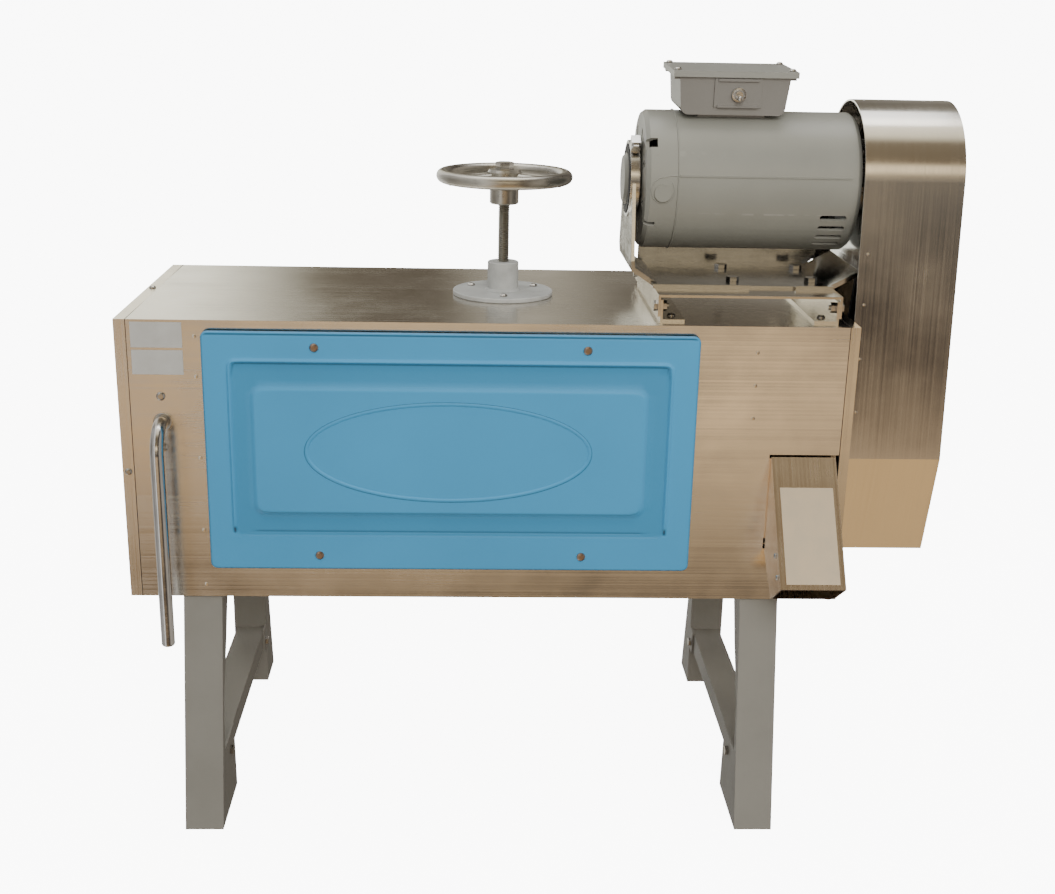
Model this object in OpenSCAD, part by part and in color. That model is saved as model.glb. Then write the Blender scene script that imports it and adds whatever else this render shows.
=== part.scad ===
// Shaved ice machine: a block of ice is pushed along a closed case on to a turning knife disc.
// Millimetres, +Z up, -Y is the front with the door, origin under the middle on the floor.

/* [Case] */
// length of the case with its end covers
case_len = 864; // [800:1:950]
// depth of the case, front to back
case_depth = 347; // [320:1:380]
// height of the case's underside above the floor
case_low = 288; // [240:1:330]
// height of the case's top above the floor
case_top = 631; // [600:1:700]
// sheet thickness of case and covers
skin = 2; // [1.5:0.5:3]
// flange width of the left end cover
cover_l = 14; // [10:1:18]
// flange width of the right end cover
cover_r = 12; // [10:1:16]
// height of the ice floor
floor_z = 316; // [310:1:330]

/* [Stand] */
// how far each foot stands out past its leg's top
splay = 65; // [40:1:80]
// width of a leg's front web
leg_w = 47; // [40:1:60]
// start of the left legs from the case's left end
leg_x = 62.3; // [40:0.1:90]
// thickness of the leg plate
leg_t = 3; // [2.5:0.5:5]
// height of the brace's top face
brace_z = 88; // [70:1:110]

/* [Door] */
// left edge of the door
door_x0 = 100; // [95:1:110]
// right edge of the door
door_x1 = 676.5; // [650:0.5:690]
// bottom edge of the door
door_z0 = 328; // [320:1:345]
// top edge of the door
door_z1 = 620; // [600:1:625]
// depth of the door's pan
door_d = 10; // [9:0.5:14]

/* [Feed lever] */
// lever shaft, distance from the case's left end
lever_x = 50; // [40:1:60]
// lever shaft height
lever_z = 509; // [480:1:540]
// radius of the lever rod
lever_r = 8; // [6:0.5:10]
// distance from the case's front to the hanging rod
lever_out = 38; // [30:1:60]
// height of the rod's lower end
lever_end = 240; // [200:1:300]
// swing arm length
arm_len = 165; // [120:1:170]

/* [Hold-down press] */
// screw axis from the case's left end
press_x = 450; // [400:1:500]
// screw axis from the case's front
press_y = 174; // [150:1:200]
// outside diameter of the handwheel
wheel_d = 169; // [140:1:200]
// height of the handwheel's rim
wheel_z = 779; // [750:1:800]
// radius of the press screw
screw_r = 7.25; // [6:0.25:10]
// radius of the flange on the case
flange_r = 63; // [50:1:75]

/* [Cutter] */
// cutter axis from the front
cut_y = 173.5; // [160:0.5:190]
// cutter axis height
cut_z = 459.5; // [450:0.5:470]
// radius of the knife disc
disc_r = 143; // [120:1:146]
// radius of the cutter shaft
shaft_r = 12.5; // [10:0.5:16]
// number of knives
knives_n = 3; // [2:1:4]
// outside radius of the driven pulley
pulley_r = 101.6; // [80:0.1:110]

/* [Motor] */
// motor axis from the front
mot_y = 143; // [130:1:175]
// motor axis height
mot_z = 782; // [770:1:800]
// radius of the motor shell
mot_r = 82.5; // [70:0.5:90]
// outside radius of the motor pulley
small_r = 38; // [30:0.5:45]
// forward tilt of the junction box about the motor
box_tilt = 3.4; // [0:0.1:10]

/* [Belt guard] */
// left edge of the guard
guard_x0 = 866; // [864:1:880]
// right face of the guard
guard_x1 = 984; // [960:1:1000]
// radius of the guard's rounded top
guard_r = 93.5; // [90:0.5:110]
// front of the guard at its lower crease
guard_y = 28; // [20:1:60]

/* [Hidden] */
$fn = 64;
L = case_len; D = case_depth; zb = case_low; zt = case_top; t = skin;
e = 0.01;
xl_lo = -3; xl_hi = guard_x1 + 3;
ox = (xl_lo + xl_hi)/2;
oy = 152.5;
run = 0.05;
leg_slope = (splay)/zb;
legs_mid = (leg_x + leg_w + 745.7)/2;
bulk_x = 728; disc_x = 729; wall_x = 843;
belt_x = 916;
hinge_y = -6; hinge_z = door_z1 - 4.2; hinge_r = 2.3;
hx0 = 140; hx1 = 637; hn = 7; hp = (hx1 - hx0)/hn;
door_sc = [[230, 602.3], [545.5, 602.3], [231, 346.5], [545.5, 346.5]];
gy = mot_y; gz = 787;
steel = [0.78, 0.77, 0.73]; grey = [0.57, 0.55, 0.52]; zinc = [0.75, 0.76, 0.78];

// ---------- helpers ----------
module bx(x0, x1, y0, y1, z0, z1) { translate([x0, y0, z0]) cube([x1 - x0, y1 - y0, z1 - z0]); }
module xcyl(x0, x1, y, z, r) { translate([x0, y, z]) rotate([0, 90, 0]) cylinder(h = x1 - x0, r = r); }
module ycyl(y0, y1, x, z, r) { translate([x, y0, z]) rotate([-90, 0, 0]) cylinder(h = y1 - y0, r = r); }
module zcyl(z0, z1, x, y, r) { translate([x, y, z0]) cylinder(h = z1 - z0, r = r); }
module yz(x0, x1, p) { translate([x0, 0, 0]) rotate([90, 0, 90]) linear_extrude(x1 - x0) polygon(p); }
module xz(y0, y1, p) { translate([0, y1, 0]) rotate([90, 0, 0]) linear_extrude(y1 - y0) polygon(p); }
// revolved about an X axis at y, z: profile points are [radius, x]
module rev_x(y, z, p) { translate([0, y, z]) rotate([0, 90, 0]) rotate_extrude() polygon(p); }
module rev_z(x, y, p) { translate([x, y, 0]) rotate_extrude() polygon(p); }
module rrect(y0, y1, x0, x1, z0, z1, r) {
  bx(x0 + r, x1 - r, y0, y1, z0, z1);
  bx(x0, x1, y0, y1, z0 + r, z1 - r);
  for (x = [x0 + r, x1 - r]) for (z = [z0 + r, z1 - r]) ycyl(y0, y1, x, z, r);
}
// screws: the head sits on the face and the shank goes on into it
module head(r, h) { cylinder(h = h*0.45, r = r); translate([0, 0, h*0.45]) cylinder(h = h*0.55, r1 = r, r2 = r*0.62); }
module screw(r, h, sr, sl) { head(r, h); translate([0, 0, -sl]) cylinder(h = sl + 0.1, r = sr); }
module hex(r, h) { cylinder(h = h, r = r, $fn = 6); }
module bolt(r, h, sr, sl) { hex(r, h); translate([0, 0, -sl]) cylinder(h = sl + 0.1, r = sr); }
module at_front(x, y, z) { translate([x, y, z]) rotate([90, 0, 0]) children(); }
module at_back(x, y, z) { translate([x, y, z]) rotate([-90, 0, 0]) children(); }
module at_left(x, y, z) { translate([x, y, z]) rotate([0, -90, 0]) children(); }
module at_right(x, y, z) { translate([x, y, z]) rotate([0, 90, 0]) children(); }
module place() { translate([-ox, -oy, 0]) children(); }
module tilt() { translate([0, mot_y, mot_z]) rotate([box_tilt, 0, 0]) translate([0, -mot_y, -mot_z]) children(); }
module right_side() { translate([2*legs_mid, 0, 0]) mirror([1, 0, 0]) children(); }

// ---------- case ----------
module cover_points() {
  translate([7, 183, zt]) children();
  at_front(7, 0, 447) children();
  at_back(7, D, 447) children();
  for (y = [9, D - 9]) for (z = [616, 303]) at_right(L, y, z) children();
}
module leg_bolt_points() {
  for (x = [75, 95]) for (y = [27, D - 27]) { translate([x, y, zb - leg_t]) children(); }
  for (x = [75, 95]) for (y = [27, D - 27]) { translate([2*legs_mid - x, y, zb - leg_t]) children(); }
}
module flange_points() {
  for (a = [-90, 30, 150]) translate([press_x + 46*cos(a), press_y + 46*sin(a), 637]) children();
}
module foot_points() { for (x = [647, 826]) for (y = [42, 232]) translate([x, y, 634]) children(); }
module bearing_points() {
  for (s = [-1, 1]) { at_front(lever_x, 0, lever_z + 31*s) children(); at_back(lever_x, D, lever_z + 31*s) children(); }
}
module case_body() color(steel) place() difference() {
  union() {
    bx(cover_l, L - cover_r, 0, D, zb, zt);
    bx(3, L - 3, t, D - t, zb + t, zt - t);
  }
  bx(cover_l + 10, L - cover_r - 10, t, D - t, zb + t, zt - t);
  bx(0, L, 2*t, D - 2*t, zb + 2*t, zt - 2*t);
  bx(112, 664, -1, 2*t + 1, 366, 588);
  bx(768, 852, -1, 2*t + 1, 355, 475.2);
  for (i = [2, 3]) ycyl(-1, 3, door_sc[i][0], door_sc[i][1], 8);
  ycyl(-1, 3, lever_x, lever_z, 10.5);
  zcyl(zt - 3, zt + 1, press_x, press_y, 12);
  cover_points() translate([0, 0, -9]) cylinder(h = 12, r = 2.2);
  leg_bolt_points() cylinder(h = 9, r = 4);
  flange_points() translate([0, 0, -12]) cylinder(h = 20, r = 2.5);
  foot_points() translate([0, 0, -9]) cylinder(h = 12, r = 2.5);
  bearing_points() translate([0, 0, -6]) cylinder(h = 8, r = 2.5);
}
module left_end_cover() color(steel) place() difference() {
  bx(0, cover_l, 0, D, zb, zt);
  bx(t, cover_l + 1, t, D - t, zb + t, zt - t);
  cover_points() translate([0, 0, -9]) cylinder(h = 12, r = 2.2);
}
module right_end_cover() color(steel) place() difference() {
  bx(L - cover_r, L, 0, D, zb, zt);
  bx(L - cover_r - 1, L - t, t, D - t, zb + t, zt - t);
  cover_points() translate([0, 0, -9]) cylinder(h = 12, r = 2.2);
  xcyl(L - 5, L + 1, cut_y, cut_z, 20);
  translate([858, 12, zb - 1]) cylinder(h = 6, r = 2.2);
  guard_points() translate([0, 0, -9]) cylinder(h = 12, r = 2.2);
}
module case_screws() color(zinc) place() {
  cover_points() screw(4.2, 2.8, 2.2, 4);
  translate([858, 12, zb]) rotate([180, 0, 0]) screw(4.4, 5, 2.2, 2);
  chute_screw_points() screw(3.6, 2.4, 2, 4);
  bearing_points() screw(5.2, 3, 2.5, 12);
  flange_points() screw(5, 3, 2.5, 12);
  foot_points() screw(5, 3, 2.5, 8);
  guard_points() screw(4.5, 3, 2.2, 6);
  tilt() lid_points() screw(4.2, 3, 2, 8);
}
module knife_bulkhead() color(steel) place() difference() {
  union() {
    bx(bulk_x, bulk_x + 3, t, D - t, zb + t, zt - t);
    bx(bulk_x, bulk_x + 16, t, 2*t, zb + t, 350);
    bx(bulk_x, bulk_x + 16, D - 2*t, D - t, zb + t, zt - t);
    xcyl(bulk_x, bulk_x + 20, cut_y, cut_z, 149);
  }
  xcyl(bulk_x - 1, bulk_x + 21, cut_y, cut_z, 146);
}
module drive_wall() color(grey) place() difference() {
  bx(wall_x, wall_x + 6, 2*t, D - 2*t, zb + 2*t, zt - 2*t);
  xcyl(wall_x - 1, wall_x + 7, cut_y, cut_z, 20);
  for (a = [45 : 90 : 315]) xcyl(wall_x - 1, wall_x + 7, cut_y + 45*cos(a), cut_z + 45*sin(a), 3.5);
}
module floor_liner() color(steel) place() difference() {
  union() {
    bx(26, bulk_x, 2*t, D - 2*t, zb + t, floor_z);
    for (y = [50 : 49.4 : 300]) bx(110, bulk_x - 6, y - 3, y + 3, floor_z - e, floor_z + 2);
  }
  bx(25, bulk_x + 1, 2*t + 2, D - 2*t - 2, zb, floor_z - 2);
}
module snow_slide() color(steel) place()
  yz(750, wall_x, [[2*t, 359], [D - 2*t, 432], [D - 2*t, 434], [2*t, 361]]);

// ---------- chute: a square duct slanting out of the case ----------
chute_x0 = 769.5; chute_x1 = 846.5;
chute_out = [[3, 473.5], [-5, 473.5], [-103, 344.5], [-55, 312], [3, 359]];
chute_in = [[10, 471.5], [-4, 471.5], [-107.5, 335.3], [-64, 307.3], [9.5, 366.9]];
module chute_screw_points() {
  for (p = [[-66, 372], [-84, 352]]) { at_right(chute_x1, p[0], p[1]) children(); at_left(chute_x0, p[0], p[1]) children(); }
}
module chute() color(steel) place() difference() {
  union() {
    yz(chute_x0, chute_x1, chute_out);
    bx(757, chute_x0 + 1, t, 2*t, 368, 470);
  }
  yz(chute_x0 + 2, chute_x1 - 2, chute_in);
  chute_screw_points() translate([0, 0, -3]) cylinder(h = 4, r = 2);
}
module label_plates() color([0.8, 0.78, 0.72]) place() {
  bx(19, 78, -0.5, 0, 598, 628);
  bx(19, 78, -0.5, 0, 566, 595);
  translate([0, -5, 473.5]) rotate([-37.22, 0, 0]) bx(777, 840, -0.56, -0.06, -156, -38);
}

// ---------- stand ----------
module leg_shape(lo_y, foot_y) {
  // web in the slanting plane, with the flange on the inner side
  difference() {
    union() {
      yz(leg_x, leg_x + leg_w, [[4, zb - leg_t], [4 + leg_t, zb - leg_t], [4 - splay + leg_t, 0], [4 - splay, 0]]);
      yz(leg_x + leg_w - leg_t, leg_x + leg_w,
        [[4, zb - leg_t], [46, zb - leg_t], [40, 270], [19, 221], [10, 205], [-18, 156], [-24, 110],
         [-26, brace_z + 4], [lo_y, brace_z + 4], [foot_y, 0], [4 - splay, 0]]);
      bx(leg_x, leg_x + leg_w, 4, 48, zb - leg_t, zb);
    }
    for (x = [75, 95]) zcyl(zb - leg_t - 1, zb + 1, x, 27, 4);
    xcyl(leg_x, leg_x + leg_w + 1, 10, 72, 3.5);
  }
}
module front_leg() { leg_shape(43, 48); }
// the back leg's web stands upright at its front edge; the flange widens behind it towards the foot
module back_leg() translate([0, D, 0]) mirror([0, 1, 0]) difference() {
  union() {
    bx(leg_x, leg_x + leg_w, 0, leg_t, 0, zb);
    yz(leg_x + leg_w - leg_t, leg_x + leg_w, [[leg_t, zb], [0, zb], [4 - splay, 0], [leg_t, 0]]);
    bx(leg_x + leg_w - leg_t, leg_x + leg_w, leg_t - 1, 24, 58, brace_z + 4);
    bx(leg_x, leg_x + leg_w, leg_t - 1, 48, zb - leg_t, zb);
  }
  for (x = [75, 95]) zcyl(zb - leg_t - 1, zb + 1, x, 27, 4);
  xcyl(leg_x, leg_x + leg_w + 1, 14, 72, 3.5);
}
module front_left_leg() color(grey) place() front_leg();
module front_right_leg() color(grey) place() right_side() front_leg();
module back_left_leg() color(grey) place() back_leg();
module back_right_leg() color(grey) place() right_side() back_leg();
module brace() {
  difference() {
    union() {
      bx(leg_x + 4, leg_x + leg_w - leg_t, -30, D - leg_t, brace_z - leg_t, brace_z);
      bx(leg_x + leg_w - 2*leg_t, leg_x + leg_w - leg_t, -20, D - leg_t, 60, brace_z);
    }
    for (y = [10, D - 14]) xcyl(leg_x, leg_x + leg_w + 1, y, 72, 3.5);
  }
}
module braces() color(grey) place() { brace(); right_side() brace(); }
module brace_bolt() {
  for (y = [10, D - 14]) {
    at_right(leg_x + leg_w, y, 72) bolt(6.5, 4.5, 3.5, 14);
    xcyl(leg_x + leg_w - 2*leg_t - 5, leg_x + leg_w - 2*leg_t, y, 72, 6);
  }
}
module stand_bolts() color(zinc) place() {
  leg_bolt_points() { rotate([180, 0, 0]) bolt(7.5, 5, 4, 13); translate([0, 0, leg_t + t]) difference() { hex(7.5, 6); translate([0, 0, -1]) cylinder(h = 8, r = 4); } }
  brace_bolt(); right_side() brace_bolt();
}

// ---------- door ----------
module oval(y0, y1, a, b) {
  translate([385, y1, 477.5]) rotate([90, 0, 0]) linear_extrude(y1 - y0) scale([a, b]) circle(r = 1, $fn = 96);
}
module door_panel() color([0.39, 0.63, 0.75]) place() difference() {
  union() {
    difference() {
      rrect(-door_d, -1.5, door_x0, door_x1, door_z0, door_z1, 8);
      rrect(-door_d + 1.5, -1, door_x0 + 1.5, door_x1 - 1.5, door_z0 + 1.5, door_z1 - 1.5, 6.5);
      bx(door_x0 - 1, door_x1 + 1, -4.2, 0, door_z1 - 14, door_z1 + 1);
    }
    rrect(-door_d - 2, -door_d + e, 131, 645, 368, 586, 8);
    rrect(-door_d - 4, -door_d - 2 + e, 159.5, 614, 402, 552, 10);
    difference() { oval(-door_d - 5.5, -door_d - 4 + e, 168.5, 61); oval(-door_d - 6, -door_d - 3, 165, 57.5); }
  }
  for (p = door_sc) ycyl(-door_d - 1, 0, p[0], p[1], 2.4);
}
module door_liner() color([0.85, 0.86, 0.86]) place() difference() {
  union() {
    bx(door_x0 + 1.5, door_x1 - 1.5, -3, -1.8, 358, 588);
    bx(120, 656, -3, 12, 374, 580);
  }
  bx(121.2, 654.8, -4, 10.8, 375.2, 578.8);
}
module door_screws() color(zinc) place() for (p = door_sc) at_front(p[0], -door_d, p[1]) screw(5.2, 3, 2.4, 3);
module strike_plates() color(zinc) place() for (i = [2, 3]) difference() {
  ycyl(-door_d + 1.5, -1.6, door_sc[i][0], door_sc[i][1], 9);
  ycyl(-door_d, -door_d + 3, door_sc[i][0], door_sc[i][1], 2.4);
}
module catch_magnets() color([0.2, 0.2, 0.21]) place() for (i = [2, 3]) ycyl(-1.2, 9, door_sc[i][0], door_sc[i][1], 8);
module knuckles(odd, bore) {
  for (i = [odd : 2 : hn - 1]) difference() {
    xcyl(hx0 + i*hp + 0.25, hx0 + (i + 1)*hp - 0.25, hinge_y, hinge_z, hinge_r);
    xcyl(hx0 + i*hp, hx0 + (i + 1)*hp, hinge_y, hinge_z, bore);
  }
}
module hinge_case_leaf() color(zinc) place() {
  knuckles(0, 1.2);
  for (i = [0 : 2 : hn - 1]) yz(hx0 + i*hp + 0.25, hx0 + (i + 1)*hp - 0.25,
    [[0, 592], [-1.2, 592], [-1.2, 608.6], [hinge_y + 0.7, hinge_z - 2.1], [hinge_y + 1.9, hinge_z - 1.1], [0, 609.3]]);
  bx(hx0, hx1, -1.2, 0, 590, 600);
}
module hinge_door_leaf() color(zinc) place() difference() {
  union() {
    knuckles(1, 1.2 + run);
    for (i = [1 : 2 : hn - 1]) bx(hx0 + i*hp + 0.25, hx0 + (i + 1)*hp - 0.25, -8.5, -7.5, 596, hinge_z - 1.6);
    bx(hx0, hx1, -8.5, -7.5, 592, 608);
  }
  for (i = [0, 1]) ycyl(-10, 0, door_sc[i][0], door_sc[i][1], 2.4);
  xcyl(hx0 - 1, hx1 + 1, hinge_y, hinge_z, 1.2 + run);
}
module hinge_pin() color(zinc) place() xcyl(hx0, hx1, hinge_y, hinge_z, 1.2);

// ---------- block feed ----------
module lever_rod() color(zinc) place() {
  ycyl(-6, 344.5, lever_x, lever_z, lever_r);
  multmatrix([[0, 0, 1, lever_x], [0, -1, 0, -6], [1, 0, 0, lever_z - 32], [0, 0, 0, 1]])
    rotate_extrude(angle = 90) translate([32, 0]) circle(r = lever_r);
  zcyl(lever_end + 2, lever_z - 32, lever_x, -lever_out, lever_r);
  translate([lever_x, -lever_out, lever_end]) cylinder(h = 2, r1 = lever_r - 1.6, r2 = lever_r);
}
module lever_bearings() color(grey) place() for (y = [t, D - t - 12]) difference() {
  union() { bx(lever_x - 13, lever_x + 13, y, y + 12, lever_z - 38, lever_z + 38); }
  ycyl(y - 1, y + 13, lever_x, lever_z, lever_r + run);
  for (s = [-1, 1]) ycyl(y - 1, y + 13, lever_x, lever_z + 31*s, 2.5);
}
module swing_arms() color(grey) place() for (y = [60, 279]) difference() {
  union() {
    ycyl(y - 6, y + 14, lever_x, lever_z, 16);
    bx(lever_x - 10, lever_x + 10, y, y + 8, lever_z - arm_len, lever_z);
    ycyl(y, y + 8, lever_x, lever_z - arm_len, 12);
  }
  ycyl(y - 7, y + 15, lever_x, lever_z, lever_r);
  ycyl(y - 7, y + 15, lever_x, lever_z - arm_len, 5);
}
module shaft_collars() color(zinc) place() for (y = [16, 320]) difference() {
  ycyl(y, y + 11, lever_x, lever_z, 14);
  ycyl(y - 1, y + 12, lever_x, lever_z, lever_r);
}
module arm_pin() color(zinc) place() ycyl(56, 291, lever_x, lever_z - arm_len, 5);
module pusher_plate() color(steel) place() difference() {
  union() {
    bx(lever_x + 14, lever_x + 18, 50, 297, 320, 452);
    for (y = [69, 272]) {
      bx(lever_x, lever_x + 15, y, y + 6, lever_z - arm_len - 11, lever_z - arm_len + 11);
      ycyl(y, y + 6, lever_x, lever_z - arm_len, 11);
    }
    bx(lever_x + 14, lever_x + 26, 50, 297, 320, 323);
    for (y = [75 : 49.3 : 275]) for (z = [350, 390, 430]) at_right(lever_x + 17.9, y, z) cylinder(h = 14, r1 = 4, r2 = 0.6, $fn = 24);
  }
  for (y = [69, 272]) ycyl(y - 1, y + 7, lever_x, lever_z - arm_len, 5 + run);
}

// ---------- hold-down press ----------
module press_flange() color([0.72, 0.71, 0.68]) place() difference() {
  rev_z(press_x, press_y, [[screw_r + run, zt], [flange_r - 1, zt], [flange_r, zt + 1], [flange_r, zt + 5], [flange_r - 1, zt + 6],
    [22, zt + 6], [19.5, zt + 9], [19.5, 672], [18.5, 673], [screw_r + run, 673]]);
  flange_points() translate([0, 0, -8]) cylinder(h = 10, r = 2.5);
}
module press_screw() color([0.3, 0.29, 0.28]) place() {
  zcyl(600, 796, press_x, press_y, screw_r);
  zcyl(594.3, 600, press_x, press_y, 10);
}
module spoke(a) {
  translate([press_x, press_y, wheel_z]) rotate([0, 0, a]) {
    translate([13, 0, -3]) rotate([0, 90, 0]) cylinder(h = wheel_d/2 - 20, r1 = 7.5, r2 = 5.5);
  }
}
module handwheel() color(zinc) place() difference() {
  union() {
    translate([press_x, press_y, wheel_z]) rotate_extrude($fn = 96) translate([wheel_d/2 - 8, 0]) circle(r = 8, $fn = 40);
    rev_z(press_x, press_y, [[0, 745], [16.5, 745], [18, 746.5], [18, 762], [21, 768], [21, 784], [19, 787], [0, 787]]);
    for (a = [90, 210, 330]) spoke(a);
  }
  zcyl(744, 788, press_x, press_y, screw_r);
}
module wheel_nut() color(zinc) place() difference() {
  translate([press_x, press_y, 787]) hex(11.5, 9);
  zcyl(786, 797, press_x, press_y, screw_r);
}
module press_plate() color(steel) place() {
  difference() {
    union() {
      bx(press_x - 160, press_x + 160, press_y - 100, press_y + 100, 590, 594);
      zcyl(594, 612, press_x, press_y, 16);
      for (s = [-1, 1]) bx(press_x - 150, press_x + 150, press_y + 60*s - 4, press_y + 60*s + 4, 594 - e, 604);
    }
    zcyl(594.1, 600.2, press_x, press_y, 10.4);
    zcyl(600, 613, press_x, press_y, screw_r + run);
  }
  for (x = [-130, -65, 0, 65, 130]) for (y = [-75, 75]) translate([press_x + x, press_y + y, 580])
    cylinder(h = 10 + e, r1 = 0.6, r2 = 4, $fn = 24);
}

// ---------- cutter ----------
module cutter_shaft() color(zinc) place() {
  xcyl(716, disc_x + 1, cut_y, cut_z, 8);
  xcyl(disc_x, 944, cut_y, cut_z, shaft_r);
}
module shaft_housing() color(grey) place() {
  difference() {
    union() { xcyl(775, wall_x, cut_y, cut_z, 36); xcyl(wall_x - 8, wall_x, cut_y, cut_z, 54); }
    xcyl(774, wall_x + 1, cut_y, cut_z, 26);
    for (a = [45 : 90 : 315]) xcyl(wall_x - 9, wall_x + 1, cut_y + 45*cos(a), cut_z + 45*sin(a), 3.5);
  }
}
module shaft_bearings() color(zinc) place() for (x = [777, 826]) difference() {
  xcyl(x, x + 15, cut_y, cut_z, 26);
  xcyl(x - 1, x + 16, cut_y, cut_z, shaft_r + run);
}
module each_knife() { for (i = [0 : knives_n - 1]) translate([0, cut_y, cut_z]) rotate([i*360/knives_n, 0, 0]) children(); }
module knife_disc() color([0.7, 0.7, 0.7]) place() difference() {
  union() { xcyl(disc_x, disc_x + 10, cut_y, cut_z, disc_r); xcyl(disc_x + 9, 765, cut_y, cut_z, 27); }
  xcyl(disc_x - 1, 766, cut_y, cut_z, shaft_r);
  each_knife() bx(disc_x - 1, disc_x + 11, -9, 10, 36, 136);
  each_knife() for (z = [56, 86, 116]) xcyl(disc_x + 2, disc_x + 11, 22, z, 2.5);
}
module knives() color(zinc) place() each_knife() {
  difference() {
    translate([0, 0, 38]) linear_extrude(96) polygon([[739, 33], [742, 33], [742, 10.5], [727.4, -6], [726.8, -4.6], [739, 10]]);
    for (z = [56, 86, 116]) xcyl(738, 743, 22, z, 2.5);
  }
}
module knife_screws() color([0.45, 0.45, 0.46]) place() each_knife() for (z = [56, 86, 116]) at_right(742, 22, z) screw(4.5, 2.6, 2.5, 8);
module disc_nut() color(zinc) place() difference() {
  at_left(disc_x, cut_y, cut_z) hex(14, 10);
  xcyl(715, disc_x + 1, cut_y, cut_z, 8);
}
module sheave(y, z, r, hub, bore, x0) {
  rev_x(y, z, [[bore, belt_x - 21], [hub, belt_x - 21], [hub, belt_x - 8], [r - 20, belt_x - 8], [r - 20, belt_x - 10], [r - 1, belt_x - 10],
    [r, belt_x - 9], [r, belt_x - 7], [r - 13.6, belt_x - 5.4], [r - 13.6, belt_x + 5.4], [r, belt_x + 7], [r, belt_x + 9],
    [r - 1, belt_x + 10], [r - 20, belt_x + 10], [r - 20, belt_x + 8], [hub, belt_x + 8], [hub, belt_x + 14], [bore, belt_x + 14]]);
}
module driven_pulley() color([0.33, 0.33, 0.34]) place() difference() {
  sheave(cut_y, cut_z, pulley_r, 24, shaft_r, 0);
  for (a = [0 : 90 : 270]) xcyl(belt_x - 11, belt_x + 11, cut_y + 52*cos(a + 45), cut_z + 52*sin(a + 45), 17);
}
function arc(c, r, a0, a1, n = 40) = [for (i = [0 : n]) let (a = a0 + (a1 - a0)*i/n)
  [c[0] + r*cos(a), c[1] + r*sin(a)]];
// closed line round the big and the small pulley, as two arcs joined by their tangents
function belt_line(rb, rs) = let (dy = mot_y - cut_y, dz = mot_z - cut_z, a = atan2(dz, dy),
  b = acos((rb - rs)/sqrt(dy*dy + dz*dz)))
  concat(arc([mot_y, mot_z], rs, a - b, a + b), arc([cut_y, cut_z], rb, a + b, a + 360 - b));
module drive_belt() color([0.12, 0.12, 0.12]) place() difference() {
  yz(belt_x - 5, belt_x + 5, belt_line(pulley_r - 2.1, small_r - 2.1));
  yz(belt_x - 6, belt_x + 6, belt_line(pulley_r - 11.6, small_r - 11.6));
}
module drive_pulley() color([0.33, 0.33, 0.34]) place() difference() {
  rev_x(mot_y, mot_z, [[7.94, belt_x - 21], [16, belt_x - 21], [16, belt_x - 10], [small_r - 1, belt_x - 10], [small_r, belt_x - 9],
    [small_r, belt_x - 7], [small_r - 13.6, belt_x - 5.4], [small_r - 13.6, belt_x + 5.4], [small_r, belt_x + 7],
    [small_r, belt_x + 9], [small_r - 1, belt_x + 10], [7.94, belt_x + 10]]);
}

// ---------- motor ----------
m0 = 612; m1 = 868;
// section of an end bell, from its hub to the rim: corner depth a, skirt depth b
function bell(a, b) = [[0, -19], [27, -19], [31, -15], [31, 0], [70, 0], [79, 0.2*a], [82.5, a], [82.5, b], [78.5, b],
  [78.5, a + 3], [74, 5], [26, 5], [26, -12], [0, -12]];
// turned about the motor's axis: 0 is the front, 90 the bottom
module around(a) { translate([0, mot_y, mot_z]) rotate([a, 0, 0]) children(); }
module vent(x0, x1, a, r) around(a) {
  bx(x0 + r, x1 - r, -mot_r - 5, -mot_r + 8, -r, r);
  for (x = [x0 + r, x1 - r]) ycyl(-mot_r - 5, -mot_r + 8, x, 0, r);
}
module face_vents(x0, x1) { for (a = [22.5 : 45 : 337.5]) around(a) bx(x0, x1, -66, -50, -4, 4); }
module motor_shell() color(grey) place() difference() {
  union() {
    xcyl(650, 856, mot_y, mot_z, mot_r);
    bx(652, 854, mot_y - mot_r - 0.4, mot_y - mot_r + 6, mot_z + 12, mot_z + 14);
  }
  xcyl(649, 857, mot_y, mot_z, mot_r - 4);
  for (a = [24.5 : 10.6 : 57]) { vent(821, 853, a, 3.4); vent(821, 853, 180 - a, 3.4); }
}
module motor_end_bells() color(grey) place() difference() {
  union() {
    translate([m0, mot_y, mot_z]) rotate([0, 90, 0]) rotate_extrude($fn = 96) polygon(bell(6, 38));
    translate([m1, mot_y, mot_z]) rotate([0, -90, 0]) difference() {
      rotate_extrude($fn = 96) polygon(bell(6, 12));
      cylinder(h = 60, r = 12, center = true);
    }
    ycyl(mot_y - mot_r - 1.5, mot_y - mot_r + 3, 632.5, 775, 10);
  }
  face_vents(611, 618); face_vents(862, 869);
  for (v = [[-37, 6], [33, 2.6], [217, 6], [147, 2.6]]) around(v[0]) bx(611, 626, -90, -74, -v[1], v[1]);
}
module motor_rotor() color([0.5, 0.5, 0.52]) place() {
  xcyl(603, 936, mot_y, mot_z, 7.94);
  xcyl(665, 800, mot_y, mot_z, 46);
}
module motor_bearings() color(zinc) place() {
  for (x = [602, 864]) difference() { xcyl(x, x + 13, mot_y, mot_z, 26); xcyl(x - 1, x + 14, mot_y, mot_z, 7.94 + run); }
  difference() { xcyl(668, 797, mot_y, mot_z, mot_r - 4); xcyl(667, 798, mot_y, mot_z, 47); }
}
module cushion_rings() color([0.13, 0.13, 0.13]) place() for (x = [597.5, 869.5]) difference() {
  xcyl(x, x + 13, mot_y, mot_z, 42);
  xcyl(x - 1, x + 14, mot_y, mot_z, 31);
}
module base_bolt_points() { for (x = [728, 824]) for (y = [100, 186]) translate([x, y, 666]) children(); }
module upright(x0) {
  difference() {
    yz(x0, x0 + 4, [[70, 692], [216, 692], [196, 782], [90, 782]]);
    xcyl(x0 - 1, x0 + 5, mot_y, mot_z, 46);
  }
}
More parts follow.
